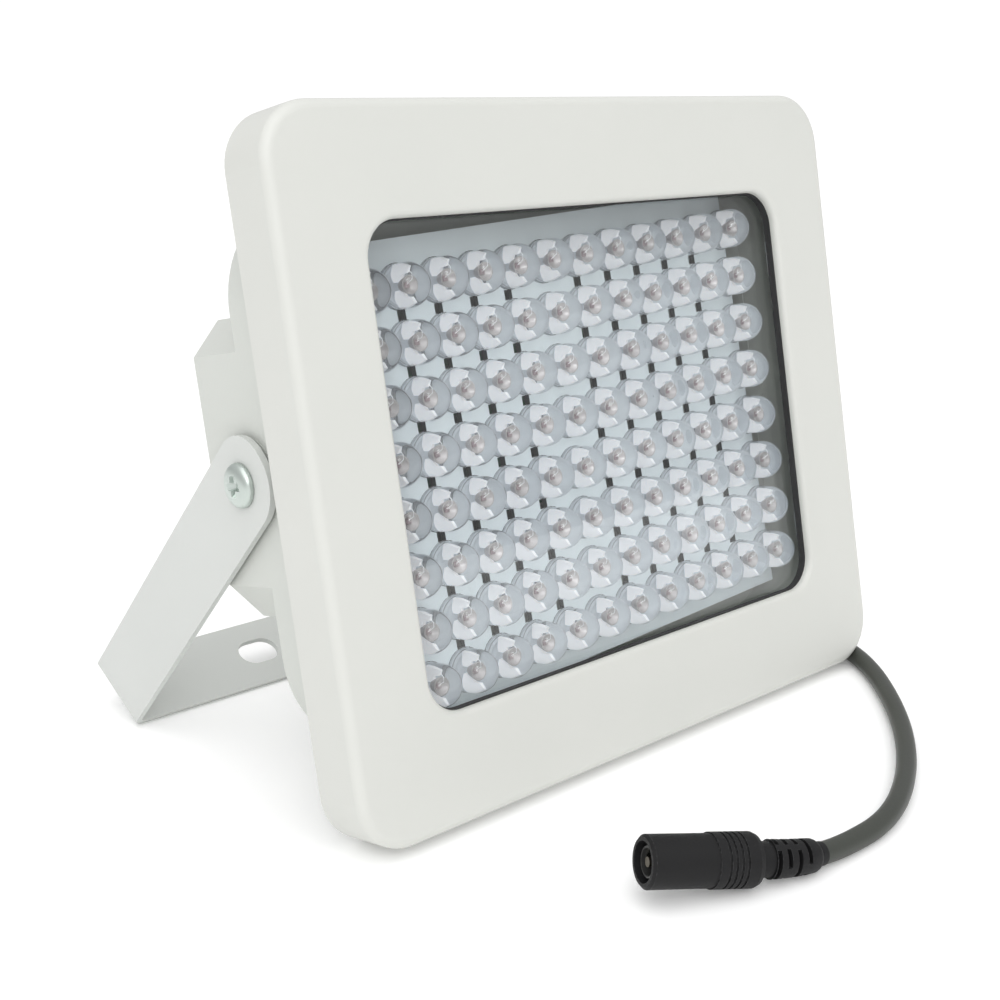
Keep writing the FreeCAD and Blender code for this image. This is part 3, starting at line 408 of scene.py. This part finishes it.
lampArray = {
    "rows": 8, "columns": 12,
    "pitch": (10.9, 12.38),                      # across and up, millimetres like all that follows
    "middle": (3.0, -2.3),
    "turn": math.radians(2.84),
    "seat": -16.6,                               # the board's face
    "steps": 32,
    # clear body, (radius, height): collar, then a straight wall and a dome
    "collar": [(0.0, 0.02), (5.08, 0.02), (5.16, 0.1), (5.18, 0.25), (5.18, 0.5), (5.12, 0.62),
               (5.04, 0.66), (5.0, 0.75)],
    "radius": 5.0, "wall": 4.0, "domeSteps": 10,
    # inside, (radius, height): silvered foot with a rim and a skirt round it, and the reflector cup
    "foot": [(0.0, 0.2), (2.1, 0.2), (2.1, 0.6), (2.3, 0.6), (2.3, 0.2), (3.3, 0.2), (3.3, 0.12),
             (0.0, 0.12)],
    "footRim": [(3.3, 0.1), (3.3, 0.3), (3.5, 0.3), (3.5, 0.1), (3.3, 0.1)],
    "footSkirt": [(3.5, 0.12), (3.5, 0.2), (4.3, 0.2), (4.5, 0.9), (4.75, 0.9), (4.85, 0.12), (3.5, 0.12)],
    "cup": [(0.0, 2.7), (0.7, 2.7), (0.9, 3.1), (1.38, 4.15), (1.45, 4.32), (1.38, 4.4),
            (1.24, 4.3), (0.7, 3.6), (0.0, 3.56)],
    "cupSteps": 20,
    # silvered screen on the far side, low and high corner of each of its flat parts
    "screen": ((4.45, -1.5, 0.2), (4.6, 1.5, 3.8)), "screenTurns": (-37, 0, 37),
    # upright plate on both sides of the cup, (y, height)
    "plate": [(0.5, 1.7), (0.5, 2.8), (1.6, 3.4), (1.8, 4.5), (3.2, 5.4), (3.4, 0.6)], "plateHalf": 0.28,
    # the die in the cup, low and high corner, and its bond wire
    "die": ((-0.4, -0.4, 3.56), (0.4, 0.4, 3.8)),
    "wire": [(0.0, 0.1, 3.8), (0.05, 0.8, 5.2), (0.05, 1.7, 5.4), (0.0, 2.4, 4.75)],
    "wireRadius": 0.06, "wireSides": 5,
    # turned parts inside, with their finishes
    "turned": [("foot", "lampFoot"), ("footRim", "lampRimPaintedShade"), ("footSkirt", "lampFoot"), ("cup", "lampCup")],
}
lampFinishes = ["clearEpoxy", "lampFrame", "lampDie", "lampCup", "lampFoot", "lampRimPaintedShade"]


def turnProfile(mesh, profile, steps, where, finish):
    rings = []
    for radius, height in profile:
        if radius == 0:
            rings.append([mesh.verts.new(where @ Vector((0, 0, height)))])
            continue
        ring = []
        for i in range(steps):
            angle = 2 * math.pi * i / steps
            spot = Vector((radius * math.cos(angle), radius * math.sin(angle), height))
            ring.append(mesh.verts.new(where @ spot))
        rings.append(ring)
    for low, high in zip(rings, rings[1:]):
        for i in range(steps):
            j = (i + 1) % steps
            corners = [low[i % len(low)], low[j % len(low)], high[j % len(high)], high[i % len(high)]]
            unique = list(dict.fromkeys(corners))
            if len(unique) > 2:
                face = mesh.faces.new(unique)
                face.smooth = True
                face.material_index = finish


def addPlate(mesh, outline, half, side, where, finish):
    sheets = [[mesh.verts.new(where @ Vector((x, side * y, z))) for y, z in outline]
              for x in (-half, half)]
    faces = [sheets[0], sheets[1][::-1]]
    for i in range(len(outline)):
        j = (i + 1) % len(outline)
        faces.append([sheets[0][i], sheets[0][j], sheets[1][j], sheets[1][i]])
    for corners in faces:
        mesh.faces.new(corners).material_index = finish


def addBlock(mesh, low, high, where, finish):
    xs, ys, zs = zip(low, high)
    corners = [mesh.verts.new(where @ Vector((x, y, z))) for x in xs for y in ys for z in zs]
    for a, b, c, d in ((0, 1, 3, 2), (4, 6, 7, 5), (0, 4, 5, 1), (2, 3, 7, 6), (0, 2, 6, 4), (1, 5, 7, 3)):
        mesh.faces.new([corners[a], corners[b], corners[c], corners[d]]).material_index = finish


def addWire(mesh, points, radius, sides, where, finish):
    rings = []
    for i, point in enumerate(points):
        ahead = Vector(points[min(i + 1, len(points) - 1)]) - Vector(points[max(i - 1, 0)])
        across = ahead.normalized().orthogonal().normalized()
        other = ahead.normalized().cross(across)
        ring = []
        for k in range(sides):
            angle = 2 * math.pi * k / sides
            spot = Vector(point) + across * radius * math.cos(angle) + other * radius * math.sin(angle)
            ring.append(mesh.verts.new(where @ spot))
        rings.append(ring)
    for low, high in zip(rings, rings[1:]):
        for k in range(sides):
            face = mesh.faces.new([low[k], low[(k + 1) % sides], high[(k + 1) % sides], high[k]])
            face.smooth = True
            face.material_index = finish
    for end in (rings[0], rings[-1]):
        mesh.faces.new(end).material_index = finish


def lampProfile():
    profile = list(lampArray["collar"])
    radius, wall = lampArray["radius"], lampArray["wall"]
    profile.append((radius, wall))
    for i in range(1, lampArray["domeSteps"]):
        angle = math.pi / 2 * i / lampArray["domeSteps"]
        profile.append((radius * math.cos(angle), wall + radius * math.sin(angle)))
    profile.append((0.0, wall + radius))
    return profile


def linkMesh(name, mesh, finishNames):
    bmesh.ops.recalc_face_normals(mesh, faces=mesh.faces)
    data = bpy.data.meshes.new(name)
    mesh.to_mesh(data)
    mesh.free()
    for finish in finishNames:
        data.materials.append(made[finish])
    piece = bpy.data.objects.new(name, data)
    bpy.context.scene.collection.objects.link(piece)
    return piece


def addLamp(mesh, where):
    form = lampArray
    finish = {name: i for i, name in enumerate(lampFinishes)}
    turnProfile(mesh, lampProfile(), form["steps"], where, finish["clearEpoxy"])
    for profile, name in form["turned"]:
        turnProfile(mesh, form[profile], form["cupSteps"], where, finish[name])
    for degrees in form["screenTurns"]:
        turned = where @ Matrix.Rotation(math.radians(degrees), 4, "Z")
        addBlock(mesh, *form["screen"], turned, finish["lampFoot"])
    for side in (-1, 1):
        addPlate(mesh, form["plate"], form["plateHalf"], side, where, finish["lampFrame"])
    addBlock(mesh, *form["die"], where, finish["lampDie"])
    addWire(mesh, form["wire"], form["wireRadius"], form["wireSides"], where, finish["lampFrame"])


def buildLampRow(row):
    mesh = bmesh.new()
    turn = lampArray["turn"]
    c, s = math.cos(turn), math.sin(turn)
    y = ((lampArray["rows"] - 1) / 2 - row) * lampArray["pitch"][1]
    for i in range(lampArray["columns"]):
        x = (i - (lampArray["columns"] - 1) / 2) * lampArray["pitch"][0]
        across = lampArray["middle"][0] + x * c - y * s
        up = lampArray["middle"][1] + x * s + y * c
        addLamp(mesh, headFrame(across, up, lampArray["seat"], turn))
    piece = linkMesh("lampRow%d" % (row + 1), mesh, lampFinishes)
    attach(piece, "head")
    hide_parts("lamp_row_%d" % (row + 1))


for row in range(lampArray["rows"]):
    buildLampRow(row)
print("lamps built:", lampArray["rows"] * lampArray["columns"])

bootForm = {
    "seat": (-0.0318, -0.112432, 0.005638),      # middle of the sleeve's back, metres
    "along": (-0.899966, 0.410138, 0.147809),    # the way the mouth points
    "neck": 3.2, "length": 13.2, "bend": math.radians(17),
    "cordEnd": 3.45, "neckEnd": 4.0,             # radii
    # (share of the length from the cord, radius)
    "rounding": [(0.0, 2.5), (0.10, 2.55), (0.145, 2.6), (0.15, 2.8), (0.165, 3.05), (0.19, 3.3),
                 (0.23, 3.5)],
    # (share of the length from the cord, middle and half width of each bridge in degrees round the boot)
    "slots": [(0.44, ((197, 23), (20, 30))), (0.62, ((117, 12), (300, 25))),
              (0.80, ((116, 8), (206, 24), (305, 25))), (0.966, ((117, 12), (300, 25)))],
    "slotHalf": 0.034, "slotDepth": 1.5,
    "lip": (0.002, 0.012),                       # how far past a slot its edge and its lip end
    "ends": (0.015, 1.004),                      # where the shallow hollows in its two ends are deepest
    "steps": 90, "sharp": 38,
}


def levelLeft(along):
    return Vector((0, 0, 1)).cross(along).normalized()


def bootMiddle(share):
    along = Vector(bootForm["along"])
    left = levelLeft(along)
    radius, angle = bootForm["length"] / bootForm["bend"], bootForm["bend"] * (1 - share)
    back = along * (bootForm["neck"] + radius * math.sin(angle)) + left * (radius * (1 - math.cos(angle)))
    return Vector(bootForm["seat"]) - back / 1000, along * math.cos(angle) + left * math.sin(angle)


def bootRadius(share, slot, degrees):
    radius = bootForm["cordEnd"] + (bootForm["neckEnd"] - bootForm["cordEnd"]) * share
    if slot is None:
        return radius
    for middle, half in slot:
        if abs((degrees - middle + 180) % 360 - 180) <= half:
            return radius
    return radius - bootForm["slotDepth"]


def buildBoot():
    rows = [(share, radius, None) for share, radius in bootForm["rounding"]]
    half, (near, far) = bootForm["slotHalf"], bootForm["lip"]
    for middle, bridges in bootForm["slots"]:
        rows += [(middle - half - far, None, None), (middle - half - near, None, None),
                 (middle - half, None, bridges), (middle + half, None, bridges),
                 (middle + half + near, None, None), (middle + half + far, None, None)]
    mesh = bmesh.new()
    rings = []
    for share, given, slot in rows:
        middle, along = bootMiddle(share)
        right = -levelLeft(along)
        up = right.cross(along).normalized()
        ring = []
        for i in range(bootForm["steps"]):
            degrees = 360 * i / bootForm["steps"]
            radius = given or bootRadius(share, slot, degrees)
            a = math.radians(degrees)
            ring.append(mesh.verts.new(middle + (right * math.cos(a) + up * math.sin(a)) * radius / 1000))
        rings.append(ring)
    count = bootForm["steps"]
    for low, high in zip(rings, rings[1:]):
        for i in range(count):
            corners = [low[i], low[(i + 1) % count], high[(i + 1) % count], high[i]]
            mesh.faces.new(corners).smooth = True
    for ring, share in zip((rings[0], rings[-1]), bootForm["ends"]):
        centre = mesh.verts.new(bootMiddle(share)[0])
        for i in range(count):
            mesh.faces.new([ring[i], ring[(i + 1) % count], centre])
    piece = linkMesh("ribbedBoot", mesh, ["socketPlastic"])
    piece.data.set_sharp_from_angle(angle=math.radians(bootForm["sharp"]))
    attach(piece, "head")
    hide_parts("strain_relief")
    return piece


boot = buildBoot()

pivotScrew = {
    "seat": 85.5, "up": 1.5, "back": 29.4,       # where the head bears, from the head's own middle
    # (radius, height) from the crown to under the head
    "head": [(0.0, 2.3), (1.6, 2.27), (2.7, 2.15), (3.6, 1.92), (4.3, 1.56), (4.7, 1.12), (4.88, 0.66),
             (4.9, 0.3), (4.82, 0.08), (4.7, 0.0), (2.5, 0.0)],
    "shank": 2.5, "thread": 2.28, "pitch": 0.8, "plain": 2.5, "turns": 11,
    "flanks": (0.3, 0.75),                       # shares of a turn where its root and its crest lie
    "tip": 1.8, "tipLength": 0.25,
    "steps": 64, "sharp": 35,
    # cross recess: half width and half span at the top and at the bottom, and how deep it goes
    "recess": {"width": (1.0, 0.45), "span": (2.75, 1.0), "depth": 1.6},
    "recessTurn": math.radians(8),
}
cutterRise = 0.3                                 # how far a recess's cutter stands out of the screw


def recessCutter(places, form, crown):
    mesh = bmesh.new()
    for where in places:
        for swap in (False, True):
            corners = []
            for level, k in ((crown + cutterRise, 0), (crown - form["depth"], 1)):
                a, b = form["span"][k], form["width"][k]
                for x, y in ((-a, -b), (a, -b), (a, b), (-a, b)):
                    spot = Vector((y, x, level)) if swap else Vector((x, y, level))
                    corners.append(mesh.verts.new(where @ spot))
            for face in ((0, 1, 2, 3), (7, 6, 5, 4), (0, 4, 5, 1),
                         (1, 5, 6, 2), (2, 6, 7, 3), (3, 7, 4, 0)):
                mesh.faces.new([corners[n] for n in face])
    return linkMesh("recessCutter", mesh, ["zincPlate"])


def cutRecess(screw, cutter, sharp):
    cut = screw.modifiers.new("recess", "BOOLEAN")
    cut.operation, cut.object, cut.solver, cut.use_self = "DIFFERENCE", cutter, "EXACT", True
    bpy.context.view_layer.update()
    shape = bpy.data.meshes.new_from_object(screw.evaluated_get(bpy.context.evaluated_depsgraph_get()))
    screw.modifiers.clear()
    screw.data = shape
    bpy.data.objects.remove(cutter)
    shape.polygons.foreach_set("use_smooth", [True] * len(shape.polygons))
    shape.set_sharp_from_angle(angle=math.radians(sharp))
    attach(screw, "head")


def buildPivotScrew(name, side):
    form = pivotScrew
    axes = Matrix(((0, 0, side), (side, 0, 0), (0, 1, 0))).to_4x4()
    where = Matrix.Translation(headPoint(side * form["seat"], form["up"], -form["back"])) @ axes
    where = where @ Matrix.Rotation(form["recessTurn"], 4, "Z") @ Matrix.Scale(0.001, 4)
    profile = form["head"] + [(form["shank"], -form["plain"])]
    root, crest = form["flanks"]
    for i in range(form["turns"]):
        low = -form["plain"] - i * form["pitch"]
        profile.append((form["thread"], low - root * form["pitch"]))
        profile.append((form["shank"], low - crest * form["pitch"]))
    end = profile[-1][1] - form["tipLength"]
    profile += [(form["tip"], end), (0.0, end)]
    mesh = bmesh.new()
    turnProfile(mesh, profile, form["steps"], where, 0)
    screw = linkMesh(name, mesh, ["zincPlate"])
    cutRecess(screw, recessCutter([where], form["recess"], form["head"][0][1]), form["sharp"])
    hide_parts("pivot_screws")


buildPivotScrew("pivotScrewLeft", -1)
buildPivotScrew("pivotScrewRight", 1)
print("pivot screws turned")

bezelScrew = {
    "across": (-62.0, 0.0, 62.0), "up": (-67.825, 67.825),
    "recess": {"width": (0.75, 0.35), "span": (2.1, 0.8), "depth": 1.35},
    "sharp": 30,
}


# these screws keep their turned CAD shape, and get a cross recess in each head
def recessBezelScrews():
    source = nodes["bezel_screws"].data
    seat = Vector(headStance["seat"])
    crown = min((v.co * 1000 - seat).dot(Vector(headOutward)) for v in source.vertices)
    flip = Matrix.Rotation(math.pi, 4, "Y")      # their heads point to the back
    places = [headFrame(x, y, crown) @ flip for y in bezelScrew["up"] for x in bezelScrew["across"]]
    screws = bpy.data.objects.new("bezelScrews", source.copy())
    bpy.context.scene.collection.objects.link(screws)
    cutRecess(screws, recessCutter(places, bezelScrew["recess"], 0.0), bezelScrew["sharp"])
    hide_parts("bezel_screws")


recessBezelScrews()
print("bezel screws recessed")

studio = {
    "floorSize": 12.0,
    "floorColour": (0.93, 0.93, 0.925), "floorRough": 0.6, "floorSpecular": 0.15, "floorGlow": 0.11,
    "backdrop": 1.05,                            # what the camera sees of the sky
    "sky": [(0.0, 0.30), (0.5, 0.50), (0.62, 0.66), (1.0, 0.85)],      # (from below to above, level)
    "skyPower": 1.0, "skyBlue": 1.01,
    "sun": {"turn": (22, -20, 0), "power": 1.36, "angle": 80},
    "boxes": [
        {"name": "frontBox", "place": (-0.75, -0.85, 0.70), "size": (0.25, 0.65), "power": 2.2},
    ],
    "aim": (0.0, -0.02, 0.07),
}


def makeFloor():
    mesh = bmesh.new()
    half = studio["floorSize"] / 2
    corners = [mesh.verts.new((x * half, y * half, 0)) for x, y in ((-1, -1), (1, -1), (1, 1), (-1, 1))]
    mesh.faces.new(corners)
    data = bpy.data.meshes.new("studioFloor")
    mesh.to_mesh(data)
    mesh.free()
    material, tree, shader = newFinish("paleFloor")
    shader.inputs["Base Color"].default_value = (*studio["floorColour"], 1)
    shader.inputs["Roughness"].default_value = studio["floorRough"]
    shader.inputs["Specular IOR Level"].default_value = studio["floorSpecular"]
    shader.inputs["Emission Color"].default_value = (1, 1, 1, 1)
    shader.inputs["Emission Strength"].default_value = studio["floorGlow"]
    data.materials.append(material)
    floor = bpy.data.objects.new("studioFloor", data)
    bpy.context.scene.collection.objects.link(floor)


def makeSky():
    world = bpy.data.worlds.new("studioSky")
    world.use_nodes = True
    tree = world.node_tree
    tree.nodes.clear()
    leave = place(tree, "ShaderNodeOutputWorld", 600)
    white = place(tree, "ShaderNodeBackground", 0, 200)
    white.inputs["Color"].default_value = (1, 1, 1, 1)
    white.inputs["Strength"].default_value = studio["backdrop"]
    soft = place(tree, "ShaderNodeBackground", 0, 0)
    soft.inputs["Strength"].default_value = studio["skyPower"]
    where = place(tree, "ShaderNodeTexCoord", -900, 0)
    parts = place(tree, "ShaderNodeSeparateXYZ", -700, 0)
    lift = place(tree, "ShaderNodeMapRange", -500, 0)
    lift.inputs["From Min"].default_value = -1.0
    lift.inputs["From Max"].default_value = 1.0
    ramp = place(tree, "ShaderNodeValToRGB", -300, 0)
    stops = ramp.color_ramp.elements
    while len(stops) < len(studio["sky"]):
        stops.new(0.5)
    for stop, (position, level) in zip(stops, studio["sky"]):
        stop.position = position
        stop.color = (level, level, level * studio["skyBlue"], 1)
    tree.links.new(where.outputs["Generated"], parts.inputs[0])
    tree.links.new(parts.outputs["Z"], lift.inputs["Value"])
    tree.links.new(lift.outputs["Result"], ramp.inputs["Fac"])
    tree.links.new(ramp.outputs["Color"], soft.inputs["Color"])
    path = place(tree, "ShaderNodeLightPath", 0, 500)
    mix = place(tree, "ShaderNodeMixShader", 300, 100)
    tree.links.new(path.outputs["Is Camera Ray"], mix.inputs[0])
    tree.links.new(soft.outputs[0], mix.inputs[1])
    tree.links.new(white.outputs[0], mix.inputs[2])
    tree.links.new(mix.outputs[0], leave.inputs["Surface"])
    bpy.context.scene.world = world


def hangLights():
    sunData = bpy.data.lights.new("overheadLight", "SUN")
    sunData.energy = studio["sun"]["power"]
    sunData.angle = math.radians(studio["sun"]["angle"])
    sun = bpy.data.objects.new("overheadLight", sunData)
    sun.rotation_euler = [math.radians(a) for a in studio["sun"]["turn"]]
    bpy.context.scene.collection.objects.link(sun)
    for box in studio["boxes"]:
        data = bpy.data.lights.new(box["name"], "AREA")
        data.shape = "RECTANGLE"
        data.size, data.size_y = box["size"]
        data.energy = box["power"]
        lamp = bpy.data.objects.new(box["name"], data)
        lamp.location = box["place"]
        aim = Vector(studio["aim"]) - Vector(box["place"])
        lamp.rotation_euler = aim.to_track_quat("-Z", "Y").to_euler()
        bpy.context.scene.collection.objects.link(lamp)


makeFloor()
makeSky()
hangLights()
bpy.context.scene.view_settings.view_transform = "Standard"
print("studio lit")
